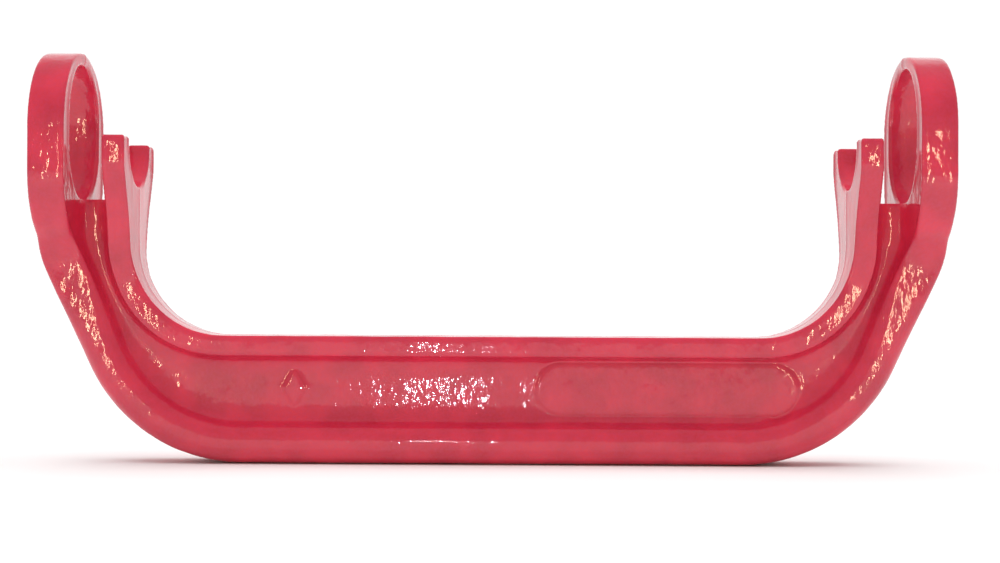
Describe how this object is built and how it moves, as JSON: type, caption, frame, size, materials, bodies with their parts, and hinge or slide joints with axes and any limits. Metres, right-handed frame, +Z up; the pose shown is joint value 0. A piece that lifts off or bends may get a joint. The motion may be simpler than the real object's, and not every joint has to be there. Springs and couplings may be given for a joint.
{
  "type": "meter yoke bar",
  "caption": "Red enamelled cast iron yoke bar: an H-section bar turned up at both ends, each with a long eye and a notched saddle that hold a water meter in line.",
  "frame": {"origin": "middle of the flat underside of the crossbar, halfway between the eyes and on the mid-depth plane", "axes": "+X along the bar towards the right eye, +Z up from the crossbar to the eyes, +Y towards the back, so the side with the name pad faces -Y"},
  "size_m": [0.355, 0.061, 0.1623],
  "materials": {
    "red_enamel": "thick glossy dipped enamel over sand-cast iron"
  },
  "bodies": {
    "root": {"crossbar": "red_enamel", "left_corner": "red_enamel", "right_corner": "red_enamel", "left_arm": "red_enamel", "right_arm": "red_enamel", "left_saddle": "red_enamel", "right_saddle": "red_enamel", "left_eye": "red_enamel", "right_eye": "red_enamel", "name_pad": "red_enamel", "size_mark": "red_enamel"}
  },
  "joints": []
}
